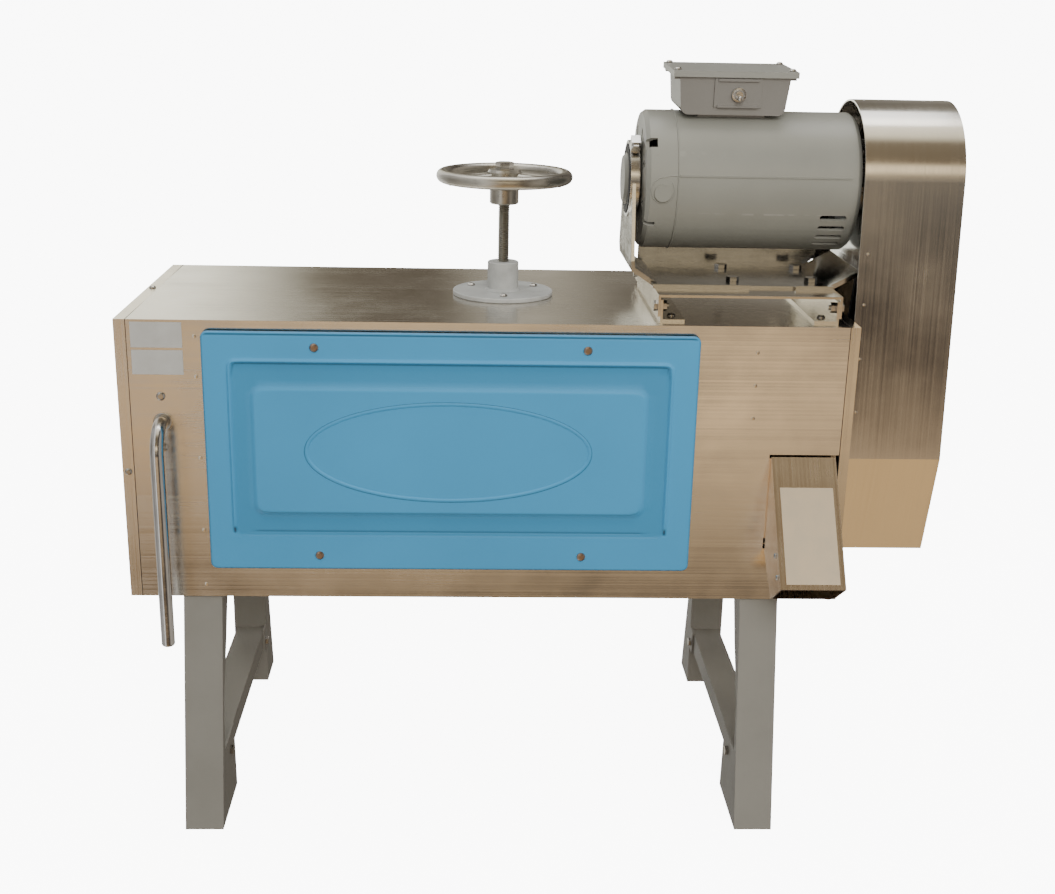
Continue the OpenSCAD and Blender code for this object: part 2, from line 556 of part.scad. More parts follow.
module motor_cradle() color(grey) place() {
  difference() {
    union() {
      bx(628, 842, 58, 228, 663, 666);
      bx(626, 842, 58, 60, 663, 668);
      xz(226, 228, [[626, 663], [842, 663], [858, 674], [858, 686.5], [626, 686.5]]);
    }
    bx(741, 797, 50, 66, 660, 670);
    base_bolt_points() translate([0, 0, -5]) cylinder(h = 8, r = 4);
  }
  upright(600); upright(876);
  xz(70, 216, [[600, 693], [604, 693], [605, 685], [634, 666], [634, 663], [628, 663], [601, 681]]);
  xz(70, 216, [[880, 693], [876, 693], [875, 685], [840, 666], [840, 663], [846, 663], [879, 681]]);
}
module cradle_clamps() color(zinc) place() for (x = [598.5, 870.5]) {
  difference() {
    union() {
      xcyl(x, x + 11, mot_y, mot_z, 46);
      translate([x, mot_y, mot_z]) rotate([33, 0, 0]) bx(0, 11, -7, 7, 42, 60);
    }
    xcyl(x - 1, x + 12, mot_y, mot_z, 42);
    translate([x + 5.5, mot_y, mot_z]) rotate([33, 0, 0]) ycyl(-20, 20, 0, 53, 3);
  }
}
module drive_bolts() color(zinc) place() {
  base_bolt_points() bolt(8, 5, 4, 12);
  for (s = [0, 1]) side_bolt_points(s) { bolt(6.5, 4, 3, 14); translate([0, 0, -11.6]) difference() { hex(6.5, 5.6); translate([0, 0, -1]) cylinder(h = 8, r = 3); } }
  for (x = [598.5, 870.5]) translate([x + 5.5, mot_y, mot_z]) rotate([33, 0, 0]) at_front(0, -7, 53) bolt(6, 4.5, 3, 18);
  for (a = [45 : 90 : 315]) translate([0, cut_y + 45*cos(a), cut_z + 45*sin(a)]) at_left(wall_x - 8, 0, 0) bolt(6, 4, 3.5, 18);
}
module side_bolt_points(s) { for (y = [32, 246]) if (s == 0) at_left(628, y, 648) children(); else at_right(845, y, 648) children(); }
module motor_plate() color(steel) place() {
  difference() {
    union() {
      bx(628, 845, 20, 258, 660, 663);
      bx(628, 631, 20, 258, 637, 661); bx(842, 845, 20, 258, 637, 661);
    }
    base_bolt_points() translate([0, 0, -8]) cylinder(h = 8, r = 4);
    for (s = [0, 1]) side_bolt_points(s) translate([0, 0, -4]) cylinder(h = 6, r = 3);
  }
}
module foot_brackets() color(steel) place() difference() {
  union() {
    bx(631, 634, 20, 258, zt, 657); bx(839, 842, 20, 258, zt, 657);
    bx(633, 660, 20, 258, zt, 634); bx(813, 840, 20, 258, zt, 634);
  }
  foot_points() translate([0, 0, -4]) cylinder(h = 6, r = 2.5);
  for (s = [0, 1]) side_bolt_points(s) translate([0, 0, -8]) cylinder(h = 8, r = 3);
}

// ---------- junction box and switch ----------
function box_line(k, top) = concat([[650.5 + k, top]], arc([663, 874], 9.4 - k, 184, 270, 7),
  arc([768, 874], 9.4 - k, 270, 354, 7), [[782 - k, top]]);
jb = box_line(0, 912);
jb_in = box_line(2, 913);
module lid_points() { for (x = [649, 784]) for (y = [112, 190]) translate([x, y, 915]) children(); }
module junction_box() color(grey) place() tilt() difference() {
  union() {
    xz(105, 197, jb);
    bx(676, 756, 118, 168, 853, 865.5);
    ycyl(190, 208, 716, 888, 14);
    for (x = [649, 784]) for (y = [112, 190]) bx(x - 4.4, x + 4.4, y - 5, y + 5, 905, 911.9);
  }
  xz(107, 195, jb_in);
  xcyl(600, 900, mot_y, mot_z, mot_r);
  ycyl(100, 110, 720.5, 888.5, 6);
  ycyl(190, 212, 716, 888, 11.1);
  lid_points() translate([0, 0, -12]) cylinder(h = 13, r = 2);
}
module junction_lid() color(grey) place() tilt() difference() {
  bx(643, 790, 101, 201, 908, 915);
  bx(644.5, 788.5, 102.5, 199.5, 907, 912);
  lid_points() translate([0, 0, -5]) cylinder(h = 6, r = 2);
}
module switch_plate() color(zinc) place() tilt() difference() {
  union() {
    bx(692, 748, 103, 105, 873.5, 906.5);
    bx(696, 744, 100.5, 103.1, 903.5, 906.5); bx(696, 744, 100.5, 103.1, 873.5, 876);
    ycyl(97, 108, 720.5, 888.5, 6); ycyl(100, 104, 720.5, 888.5, 8.5);
  }
  ycyl(96, 109, 720.5, 888.5, 4.4);
}
module switch_toggle() color([0.85, 0.85, 0.85]) place() tilt() translate([720.5, 104, 888.5]) rotate([90 + 12, 0, 0]) {
  cylinder(h = 15, r1 = 2, r2 = 3); translate([0, 0, 15]) cylinder(h = 2, r1 = 3, r2 = 1.8);
  rotate([0, 90, 0]) cylinder(h = 5, r = 2.6, center = true);
}

// ---------- belt guard ----------
// side outline of the guard, drawn in by k: front edge, arc over the motor, back edge, chin
function guard_line(k) = let (r = guard_r - k, f = [guard_y + k, 462], b = [2*cut_y - guard_y - k, 462],
  af = 360 + atan2(f[1] - gz, f[0] - gy) - acos(r/norm(f - [gy, gz])),
  ab = atan2(b[1] - gz, b[0] - gy) + acos(r/norm(b - [gy, gz])))
  concat([f], arc([gy, gz], r, af, ab), [b, [2*cut_y - 60 - 0.8*k, 333 + k], [60 + 0.8*k, 333 + k]]);
module guard_form(x0, x1, k) yz(x0, x1, guard_line(k));
module guard_points() { for (p = [[49.5, 420], [297.5, 420], [45.5, 560], [284, 560]]) at_right(L + 4, p[0], p[1]) children(); }
module belt_guard() color(steel) place() {
  difference() {
    union() {
      difference() { guard_form(guard_x0, guard_x1 - 2, 0); guard_form(guard_x0 - 1, guard_x1, 2); }
      difference() {
        intersection() { guard_form(L, L + 4, 0); bx(L - 1, L + 5, 0, 400, 300, 600); }
        guard_form(L - 1, L + 5, 22);
      }
      difference() {
        guard_form(guard_x1 - 2, guard_x1, 0);
        for (y = [90, 145, 200, 255]) for (z = [430, 470, 510]) louvre(guard_x1 - 3, guard_x1 + 1, y, z);
      }
    }
    guard_points() translate([0, 0, -5]) cylinder(h = 7, r = 2.2);
  }
}
module louvre(x0, x1, y, z) { bx(x0, x1, y - 18, y + 18, z - 3, z + 3); for (s = [-18, 18]) xcyl(x0, x1, y + s, z, 3); }

case_body();
left_end_cover();
right_end_cover();
case_screws();
knife_bulkhead();
drive_wall();
floor_liner();
snow_slide();
chute();
label_plates();
front_left_leg();
front_right_leg();
back_left_leg();
back_right_leg();
braces();
stand_bolts();
door_panel();
door_liner();
door_screws();
strike_plates();
catch_magnets();
hinge_case_leaf();
hinge_door_leaf();
hinge_pin();
lever_rod();
lever_bearings();
swing_arms();
shaft_collars();
arm_pin();
pusher_plate();
press_flange();
press_screw();
handwheel();
wheel_nut();
press_plate();
cutter_shaft();
shaft_housing();
shaft_bearings();
knife_disc();
knives();
knife_screws();
disc_nut();
driven_pulley();
drive_belt();
drive_pulley();
motor_shell();
motor_end_bells();
motor_rotor();
motor_bearings();
cushion_rings();
motor_cradle();
cradle_clamps();
motor_plate();
foot_brackets();
drive_bolts();
junction_box();
junction_lid();
switch_plate();
switch_toggle();
belt_guard();
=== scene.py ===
import bpy, bmesh
from math import sin, cos, pi, radians, sqrt, exp
from mathutils import Vector, Matrix

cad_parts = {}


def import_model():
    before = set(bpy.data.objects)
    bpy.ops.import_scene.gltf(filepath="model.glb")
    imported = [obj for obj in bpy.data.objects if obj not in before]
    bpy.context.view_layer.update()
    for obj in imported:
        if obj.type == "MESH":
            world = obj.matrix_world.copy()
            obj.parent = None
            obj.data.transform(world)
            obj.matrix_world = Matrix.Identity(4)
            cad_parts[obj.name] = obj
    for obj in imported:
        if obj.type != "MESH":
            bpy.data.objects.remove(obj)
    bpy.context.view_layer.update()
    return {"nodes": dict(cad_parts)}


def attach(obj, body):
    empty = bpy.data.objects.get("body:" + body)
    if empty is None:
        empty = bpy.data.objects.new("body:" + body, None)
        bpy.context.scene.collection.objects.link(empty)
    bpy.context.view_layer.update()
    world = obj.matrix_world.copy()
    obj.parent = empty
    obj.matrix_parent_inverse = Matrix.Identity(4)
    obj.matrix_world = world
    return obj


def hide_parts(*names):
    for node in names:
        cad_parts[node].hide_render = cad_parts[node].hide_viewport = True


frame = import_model()
NODES = frame["nodes"]

# Lengths below are mm: x to the right of the case's front left corner, y back from its front face,
# z up from the floor. The frame's origin lies at this x and y.
ORIGIN = (492.0, 152.5)
CASE_BACK, CASE_FOOT, CASE_TOP = 347, 288, 631
# x of the end covers' joints, where dark beads are painted shadow for the gaps
COVER_JOINTS = {"left_cover_gap_shadow": 14, "right_cover_gap_shadow": 852}
MOTOR_Y, MOTOR_Z, MOTOR_R = 143, 782, 82.5
BOX_TILT = radians(3.4)


def pt(x, y, z):
    """A point in the frame, in metres, from the lengths in mm."""
    return Vector(((x - ORIGIN[0])/1000, (y - ORIGIN[1])/1000, z/1000))


# ---------- material nodes ----------
def shader(name, colour, rough, metal=0.0, **constants):
    """Material, node tree and shader, with constants set on the shader's sockets."""
    m = bpy.data.materials.new(name)
    m.use_nodes = True
    b = m.node_tree.nodes["Principled BSDF"]
    b.inputs["Base Color"].default_value = (*colour, 1)
    b.inputs["Roughness"].default_value = rough
    b.inputs["Metallic"].default_value = metal
    for k, v in constants.items():
        b.inputs[k.replace("_", " ")].default_value = v
    return m, m.node_tree, b


def stretched(nt, vector, stretch):
    m = nt.nodes.new("ShaderNodeMapping")
    m.inputs["Scale"].default_value = stretch
    nt.links.new(vector, m.inputs["Vector"])
    return m.outputs["Vector"]


def coords(nt, stretch=(1, 1, 1)):
    """Coordinates that stay with the piece."""
    return stretched(nt, nt.nodes.new("ShaderNodeTexCoord").outputs["Object"], stretch)


def noise(nt, vector, scale, detail=4.0, rough=0.55):
    n = nt.nodes.new("ShaderNodeTexNoise")
    n.inputs["Scale"].default_value = scale
    n.inputs["Detail"].default_value = detail
    n.inputs["Roughness"].default_value = rough
    nt.links.new(vector, n.inputs["Vector"])
    return n.outputs["Fac"]


def span(nt, value, lo, hi, a, b):
    """Map lo..hi to a..b, held at the ends."""
    n = nt.nodes.new("ShaderNodeMapRange")
    for k, v in zip(("From Min", "From Max", "To Min", "To Max"), (lo, hi, a, b)):
        n.inputs[k].default_value = v
    nt.links.new(value, n.inputs["Value"])
    return n.outputs["Result"]


def vary(nt, value, a, b):
    """Spread a noise's usual range over a..b."""
    return span(nt, value, 0.3, 0.7, a, b)


def math(nt, op, a, b):
    n = nt.nodes.new("ShaderNodeMath")
    n.operation = op
    for i, v in enumerate((a, b)):
        if isinstance(v, (int, float)):
            n.inputs[i].default_value = v
        else:
            nt.links.new(v, n.inputs[i])
    return n.outputs[0]


def ramp(nt, value, stops):
    """Colour from a list of (position, colour)."""
    n = nt.nodes.new("ShaderNodeValToRGB")
    while len(n.color_ramp.elements) < len(stops):
        n.color_ramp.elements.new(0.5)
    for e, (p, c) in zip(n.color_ramp.elements, stops):
        e.position, e.color = p, (*c, 1)
    nt.links.new(value, n.inputs["Fac"])
    return n.outputs["Color"]


def mix(nt, value, a, b, how="MIX"):
    n = nt.nodes.new("ShaderNodeMix")
    n.data_type, n.blend_type = "RGBA", how
    factor, colours, result = n.inputs[0], n.inputs[6:8], n.outputs[2]
    nt.links.new(value, factor)
    for socket, v in zip(colours, (a, b)):
        if isinstance(v, tuple):
            socket.default_value = (*v, 1)
        else:
            nt.links.new(v, socket)
    return result


def bump(nt, height, strength, distance, normal=None):
    """Distance is in metres."""
    n = nt.nodes.new("ShaderNodeBump")
    n.inputs["Strength"].default_value = strength
    n.inputs["Distance"].default_value = distance
    nt.links.new(height, n.inputs["Height"])
    if normal is not None:
        nt.links.new(normal, n.inputs["Normal"])
    return n.outputs["Normal"]


def wear(nt, lo=0.52, hi=0.6):
    """0 on flats, 1 on sharp outer edges."""
    g = nt.nodes.new("ShaderNodeNewGeometry")
    return span(nt, g.outputs["Pointiness"], lo, hi, 0, 1)


def times(colour, k):
    return tuple(min(1, c*k) for c in colour)


def finish(nt, b, **maps):
    """Feed maps to the shader's sockets of the same names."""
    for k, v in maps.items():
        nt.links.new(v, b.inputs[k.replace("_", " ")])


def brushed(name, colour, along, rough=0.3, grain=0.35, smudge=0.08, line=520.0):
    """Brushed sheet with its grain along an axis, or along a plane given as two letters."""
    m, nt, b = shader(name, colour, rough, 1.0)
    fine = noise(nt, coords(nt, tuple(1.3 if a in along else line for a in "xyz")), 1.0, 3, 0.6)
    broad = noise(nt, coords(nt, tuple(0.7 if a in along else 26 for a in "xyz")), 1.0, 4, 0.6)
    cloud = noise(nt, coords(nt), 5.5, 5, 0.6)
    tone = math(nt, "ADD", math(nt, "MULTIPLY", fine, 0.45), math(nt, "MULTIPLY", broad, 0.2))
    tone = math(nt, "ADD", tone, math(nt, "MULTIPLY", cloud, 0.35))
    dark, light = times(colour, 1 - 1.3*smudge), times(colour, 1 + smudge)
    dull = math(nt, "ADD", vary(nt, cloud, rough - 0.07, rough + 0.09), vary(nt, fine, -0.05, 0.05))
    scratches = bump(nt, fine, grain, 0.00022)
    finish(nt, b,
           Base_Color=ramp(nt, tone, [(0.34, dark), (0.5, colour), (0.66, light)]),
           Roughness=dull,
           Normal=bump(nt, noise(nt, coords(nt), 14, 2), 0.12, 0.0006, scratches))
    return m


def enamel(name, colour, rough=0.35, peel=0.12, spread=0.05, worn=(0.5, 0.48, 0.45), **constants):
    """Sprayed paint: slight orange peel, a little dust, thin wear on the edges."""
    m, nt, b = shader(name, colour, rough, 0.0, **constants)
    cloud = noise(nt, coords(nt), 7, 5, 0.6)
    fine = noise(nt, coords(nt), 420, 2)
    dark, light = times(colour, 1 - 1.5*spread), times(colour, 1 + spread)
    base = ramp(nt, cloud, [(0.34, dark), (0.52, colour), (0.68, light)])
    speck = span(nt, noise(nt, coords(nt), 260, 3, 0.7), 0.66, 0.74, 0, 0.35)
    base = mix(nt, speck, base, times(colour, 0.72))
    chipped = span(nt, noise(nt, coords(nt), 90), 0.45, 0.6, 0, 0.4)
    edge = math(nt, "MULTIPLY", wear(nt, 0.60, 0.70), chipped)
    dull = math(nt, "ADD", vary(nt, cloud, rough - 0.06, rough + 0.08), vary(nt, fine, -0.03, 0.03))
    finish(nt, b, Base_Color=mix(nt, edge, base, worn), Roughness=dull,
           Normal=bump(nt, fine, peel, 0.0003))
    return m


def cast(name, colour, rough=0.45, metal=1.0, grain=0.4):
    """Cast or plated metal with a fine sandy skin."""
    m, nt, b = shader(name, colour, rough, metal)
    cloud = noise(nt, coords(nt), 30, 5, 0.65)
    sand = noise(nt, coords(nt), 900, 3, 0.6)
    base = ramp(nt, cloud, [(0.32, times(colour, 0.8)), (0.5, colour), (0.7, times(colour, 1.12))])
    finish(nt, b,
           Base_Color=mix(nt, wear(nt), base, times(colour, 1.3)),
           Roughness=vary(nt, cloud, rough - 0.09, rough + 0.1),
           Normal=bump(nt, sand, grain, 0.00025, bump(nt, cloud, 0.2, 0.0008)))
    return m


def bright(name, colour, rough=0.12):
    """Polished or plated bright metal with fine hairlines."""
    m, nt, b = shader(name, colour, rough, 1.0)
    hair = noise(nt, coords(nt, (60, 60, 700)), 1.0, 3)
    cloud = noise(nt, coords(nt), 40, 4)
    dull = math(nt, "ADD", vary(nt, hair, rough - 0.04, rough + 0.06), vary(nt, cloud, -0.02, 0.06))
    finish(nt, b, Base_Color=ramp(nt, cloud, [(0.3, times(colour, 0.86)), (0.65, colour)]),
           Roughness=dull, Normal=bump(nt, hair, 0.1, 0.0001))
    return m


M = {
    "sheet": brushed("steel_sheet", (0.80, 0.77, 0.72), "x", 0.21, 0.05, 0.04),
    "side": brushed("steel_side", (0.86, 0.80, 0.70), "z", 0.24, 0.1, 0.05),
    "guard": brushed("steel_guard", (0.77, 0.745, 0.70), "yz", 0.17, 0.1, 0.05),
    # the chute's steel is tinted warm brown: a painted reflection of warm surroundings
    "chute": brushed("steel_chute", (0.88, 0.76, 0.62), "yz", 0.24),
    "inner": brushed("steel_inner", (0.55, 0.54, 0.52), "x", 0.38),
    "plate": brushed("steel_plate", (0.66, 0.62, 0.55), "x", 0.2, 0.25, line=400),
    "knife": bright("knife_steel", (0.75, 0.75, 0.76), 0.18),
    "zinc": bright("zinc_plate", (0.74, 0.74, 0.73), 0.22),
    "screw": bright("screw_steel", (0.50, 0.485, 0.46), 0.16),
    "thread": bright("thread_steel", (0.34, 0.325, 0.29), 0.26),
    "rosy": bright("door_screw_steel", (0.40, 0.30, 0.24), 0.3),
    "chrome": bright("rod_steel", (0.62, 0.61, 0.60), 0.15),
    "galv": cast("galvanised", (0.55, 0.56, 0.57), 0.32, grain=0.15),
    "cradle": bright("cradle_zinc", (0.52, 0.52, 0.51), 0.13),
    "motor": enamel("motor_grey", (0.29, 0.288, 0.255), 0.36, Coat_Weight=0.15, Coat_Roughness=0.3),
    "box": enamel("box_grey", (0.23, 0.22, 0.205), 0.33, Coat_Weight=0.2, Coat_Roughness=0.3),
    "lid": enamel("lid_grey", (0.33, 0.33, 0.30), 0.33, Coat_Weight=0.2, Coat_Roughness=0.3),
    "crease": enamel("crease_grey", (0.52, 0.51, 0.46), 0.34),
    "stand": enamel("stand_grey", (0.27, 0.26, 0.235), 0.5),
    "liner": enamel("white_liner", (0.78, 0.79, 0.78), 0.4),
    "flange": cast("flange_grey", (0.50, 0.51, 0.50), 0.55, 0.15, 0.35),
    "wheel": cast("wheel_casting", (0.50, 0.48, 0.43), 0.33, grain=0.3),
    "iron": cast("dark_iron", (0.10, 0.095, 0.09), 0.5, 0.8),
    "oxide": cast("black_oxide", (0.07, 0.065, 0.06), 0.38, 0.9, 0.2),
    "rubber": enamel("belt_rubber", (0.025, 0.025, 0.026), 0.65, 0.3, worn=(0.05, 0.05, 0.05)),
}


def door_paint():
    """Blue enamel with painted shade: darker where the mesh's point attribute says shade falls, in
    the sunk field, the creases, at the bead's ends and round the door's edge.
    """
    # deep is the door's blue in painted shade, reached where the attribute is 1
    blue, deep = (0.072, 0.385, 0.72), (0.006, 0.035, 0.07)
    m, nt, b = shader("blue_enamel", blue, 0.4, 0.0, Coat_Weight=0.15, Coat_Roughness=0.3)
    cloud = noise(nt, coords(nt), 4, 4)
    base = ramp(nt, cloud, [(0.3, times(blue, 0.94)), (0.5, blue), (0.7, times(blue, 1.05))])
    a = nt.nodes.new("ShaderNodeAttribute")
    a.attribute_name = "painted_shade"
    finish(nt, b, Base_Color=mix(nt, a.outputs["Fac"], base, deep),
           Roughness=vary(nt, cloud, 0.34, 0.46),
           Normal=bump(nt, noise(nt, coords(nt), 380, 2), 0.08, 0.0003))
    return m


def label_paint():
    """Blank plates: white on the case, buff on the chute, dusty in places."""
    white, buff, dust = (0.62, 0.62, 0.60), (0.60, 0.48, 0.33), (0.36, 0.33, 0.28)
    plain = (0.7, 0.69, 0.65)
    m, nt, b = shader("blank_label", plain, 0.42, 0.0, Coat_Weight=0.2, Coat_Roughness=0.2)
    s = nt.nodes.new("ShaderNodeSeparateXYZ")
    nt.links.new(coords(nt), s.inputs[0])
    base = mix(nt, span(nt, s.outputs["X"], 0.1, 0.2, 0, 1), white, buff)
    cloud = noise(nt, coords(nt), 45, 4)
    finish(nt, b, Base_Color=mix(nt, span(nt, cloud, 0.35, 0.7, 0, 0.25), base, dust),
           Roughness=vary(nt, cloud, 0.35, 0.5),
           Normal=bump(nt, noise(nt, coords(nt), 600, 2), 0.05, 0.0002))
    return m


M["door"] = door_paint()
M["label"] = label_paint()

# ---------- finishes on the CAD nodes: material, edge rounding in mm ----------
FINISH = {
    "sheet": [("case_body", 1.2), ("snow_slide", 0.3), ("floor_liner", 0.4)],
    "side": [("left_end_cover", 1.2), ("right_end_cover", 1.2)],
    "guard": [("belt_guard", 0.5)],
    "chute": [("chute", 1.2)],
    "inner": [("knife_bulkhead", 0.4), ("drive_wall", 0.5), ("pusher_plate", 0.6),
              ("press_plate", 0.5)],
    "plate": [("motor_plate", 1.2), ("foot_brackets", 0.8)],
    "knife": [("knives", 0.2), ("cutter_shaft", 0.4)],
    "zinc": [("cradle_clamps", 0.4), ("strike_plates", 0.2), ("shaft_collars", 0.4),
             ("arm_pin", 0.4)],
    "screw": [("case_screws", 0.3), ("drive_bolts", 0.4), ("stand_bolts", 0.4),
              ("knife_screws", 0.3), ("wheel_nut", 0.5), ("disc_nut", 0.5),
              ("hinge_case_leaf", 0.2), ("hinge_door_leaf", 0.2), ("hinge_pin", 0.1)],
    "rosy": [("door_screws", 0.3)],
    "chrome": [("lever_rod", 0.8), ("switch_toggle", 0.2)],
    "galv": [("lever_bearings", 0.6), ("swing_arms", 0.8), ("shaft_bearings", 0.4)],
    "cradle": [("motor_cradle", 0.6)],
    "motor": [("motor_shell", 0.5), ("motor_end_bells", 0.8)],
    "box": [("junction_box", 1.6), ("switch_plate", 0.6)],
    "lid": [("junction_lid", 0.8)],
    "stand": [("front_left_leg", 0.8), ("front_right_leg", 0.8), ("back_left_leg", 0.8),
              ("back_right_leg", 0.8), ("braces", 0.6)],
    "liner": [("door_liner", 0.6)],
    "flange": [("press_flange", 1.0)],
    "wheel": [("handwheel", 1.6), ("knife_disc", 0.6)],
    "iron": [("driven_pulley", 0.8), ("drive_pulley", 0.6), ("shaft_housing", 0.8),
             ("catch_magnets", 0.3)],
    "oxide": [("motor_rotor", 0.4), ("motor_bearings", 0.4)],
    "rubber": [("drive_belt", 0.6), ("cushion_rings", 1.0)],
    "label": [("label_plates", 0.15)],
    "door": [("door_panel", 0.8)],
}


def by_angle(limit):
    """Node group that keeps edges sharper than the limit sharp and the rest smooth."""
    g = bpy.data.node_groups.new("smooth_by_angle", "GeometryNodeTree")
    g.interface.new_socket("Geometry", in_out="INPUT", socket_type="NodeSocketGeometry")
    g.interface.new_socket("Geometry", in_out="OUTPUT", socket_type="NodeSocketGeometry")
    start, end = g.nodes.new("NodeGroupInput"), g.nodes.new("NodeGroupOutput")
    soft, hard = (g.nodes.new("GeometryNodeSetShadeSmooth") for _ in range(2))
    soft.domain, soft.inputs["Shade Smooth"].default_value = "FACE", True
    hard.domain, hard.inputs["Shade Smooth"].default_value = "EDGE", False
    angle, test = g.nodes.new("GeometryNodeInputMeshEdgeAngle"), g.nodes.new("FunctionNodeCompare")
    test.data_type, test.operation = "FLOAT", "GREATER_THAN"
    test.inputs[1].default_value = limit
    g.links.new(start.outputs[0], soft.inputs["Geometry"])
    g.links.new(soft.outputs[0], hard.inputs["Geometry"])
    g.links.new(angle.outputs["Unsigned Angle"], test.inputs[0])
    g.links.new(test.outputs[0], hard.inputs["Selection"])
    g.links.new(hard.outputs[0], end.inputs[0])
    return g


# BY_FOLD keeps the shallow folds of the belt guard's wrap crisp
BY_ANGLE, BY_FOLD = by_angle(radians(46)), by_angle(radians(9))
# faces that meet at less than EVEN_OUT count as one flat; edges sharper than ROUNDED_FROM are rounded
EVEN_OUT, ROUNDED_FROM = radians(0.6), radians(32)
TOUCHING = 0.00001


def weld(o, reach):
    """Join points that lie within reach of each other; metres."""
    o.modifiers.new("weld", "WELD").merge_threshold = reach


def shading(o, group=BY_ANGLE):
    o.modifiers.new("shade", "NODES").node_group = group
    w = o.modifiers.new("normals", "WEIGHTED_NORMAL")
    w.keep_sharp, w.weight = True, 80


def dress(o, material, edge, group):
    """Material and rounded edges on a CAD node; the mesh's flats are merged first."""
    o.data.materials.clear()
    o.data.materials.append(material)
    weld(o, TOUCHING)
    flat = o.modifiers.new("flat", "DECIMATE")
    flat.decimate_type, flat.angle_limit = "DISSOLVE", EVEN_OUT
    b = o.modifiers.new("edge", "BEVEL")
    b.width, b.segments = edge/1000, 2
    b.limit_method, b.angle_limit = "ANGLE", ROUNDED_FROM
    b.miter_outer, b.use_clamp_overlap = "MITER_ARC", True
    shading(o, group)


for key, rows in FINISH.items():
    for node, edge in rows:
        dress(NODES[node], M[key], edge, BY_FOLD if key == "guard" else BY_ANGLE)


# ---------- mesh helpers ----------
def put(name, me):
    """A smooth-shaded mesh as an object in the scene."""
    me.shade_smooth()
    o = bpy.data.objects.new(name, me)
    bpy.context.scene.collection.objects.link(o)
    return o


def mesh(name, verts, faces):
    me = bpy.data.meshes.new(name)
    me.from_pydata(verts, [], faces)
    me.update()
    return me


def fit_out(o, material, body):
    """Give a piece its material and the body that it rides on."""
    o.data.materials.append(material)
    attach(o, body)


def piece(name, verts, faces, material, body):
    o = put(name, mesh(name, verts, faces))
    fit_out(o, material, body)
    return o


def bands(rows, n):
    """Quads between neighbouring rings of n points each."""
    return [(j*n + i, j*n + (i + 1) % n, (j + 1)*n + (i + 1) % n, (j + 1)*n + i)
            for j in range(rows) for i in range(n)]


def step(a, b, v):
    """0 at a, 1 at b, with a smooth passage; held beyond them."""
    t = min(1, max(0, (v - a)/(b - a)))
    return t*t*(3 - 2*t)


def sdf(x, z, x0, x1, z0, z1, r):
    """Signed distance to a rounded rectangle, in mm."""
    dx = abs(x - (x0 + x1)/2) - (x1 - x0)/2 + r
    dz = abs(z - (z0 + z1)/2) - (z1 - z0)/2 + r
    return sqrt(max(dx, 0)**2 + max(dz, 0)**2) + min(max(dx, dz), 0) - r


# ---------- door: a pressed pan with a rolled bead, a sunk field and a raised panel ----------
# each is left, right, foot, top; the last two also have a corner radius
DOOR = (100, 676.5, 328, 620)
BEAD = (131, 645, 368, 586, 9)
PANEL = (159.5, 614, 402, 552, 11)
DOOR_FACE = -10
DOOR_EDGE, DOOR_CORNER = 2.6, 8.0
# how far back the return lip reaches; it is shorter above HINGE_FOOT, where it passes the hinge
LIP, SHORT_LIP, HINGE_FOOT = -1.7, -4.4, 604
# a crease runs along the field's foot and another under the door's top edge
FOOT_CREASE, TOP_CREASE = 376.5, 616.6


def along_foot(x):
    """1 along the foot crease, fading out at its ends."""
    return step(150, 162, x)*step(626, 612, x)


def relief(x, z):
    """How far the skin stands in front of its rim, in mm."""
    bead, panel = sdf(x, z, *BEAD), sdf(x, z, *PANEL)
    h = 2.3*exp(-(bead/1.9)**2)*step(372, 383, z)
    h -= 0.9*step(-1.5, -5, bead)
    h += 3.1*step(8, -1.5, panel)
    h -= 0.7*exp(-((z - FOOT_CREASE)/1.1)**2)*along_foot(x)
    h -= 0.8*exp(-((z - TOP_CREASE)/0.9)**2)
    for end in BEAD[:2]:
        h -= 1.6*exp(-((x - end)/2.0)**2 - ((z - 378)/4.5)**4)
    return h


def painted_shade(x, z):
    """How much painted shade the door's blue gets there: in the sunk field, the creases and at the
    bead's ends.
    """
    bead, panel = sdf(x, z, *BEAD), sdf(x, z, *PANEL)
    v = 0.22*step(0, -4, bead)*step(-1, 8, panel)
    v += 0.75*exp(-((z - TOP_CREASE - 0.4)/1.3)**2)
    v += 0.45*exp(-((bead + 3.4)/0.8)**2)*step(560, 584, z)
    v += 0.4*exp(-((z - FOOT_CREASE)/0.9)**2)*along_foot(x)
    v += 0.35*exp(-((panel - 1.0)/1.0)**2)*step(408, 402, z)
    for end in BEAD[:2]:
        v += 0.9*exp(-((x - end)/1.8)**2 - ((z - 378)/4.2)**4)
    return min(v, 1.0)


def lines(lo, hi, near, coarse=9.0, fine=0.8, reach=5.6, least=0.35):
    """Grid lines from lo to hi, close together around the places in near."""
    n = max(2, round((hi - lo)/coarse))
    out = {round(lo + (hi - lo)*i/n, 2) for i in range(n + 1)}
    k = int(reach/fine)
    out |= {round(c + i*fine, 2) for c in near for i in range(-k, k + 1)}
    out = sorted(v for v in out if lo <= v <= hi)
    return [v for i, v in enumerate(out) if i == 0 or v - out[i - 1] > least or v == out[-1]]


# stores the door's painted shade as a point attribute that its paint reads
def set_painted_shade(o, values):
    o.data.attributes.new("painted_shade", "FLOAT", "POINT").data.foreach_set("value", values)


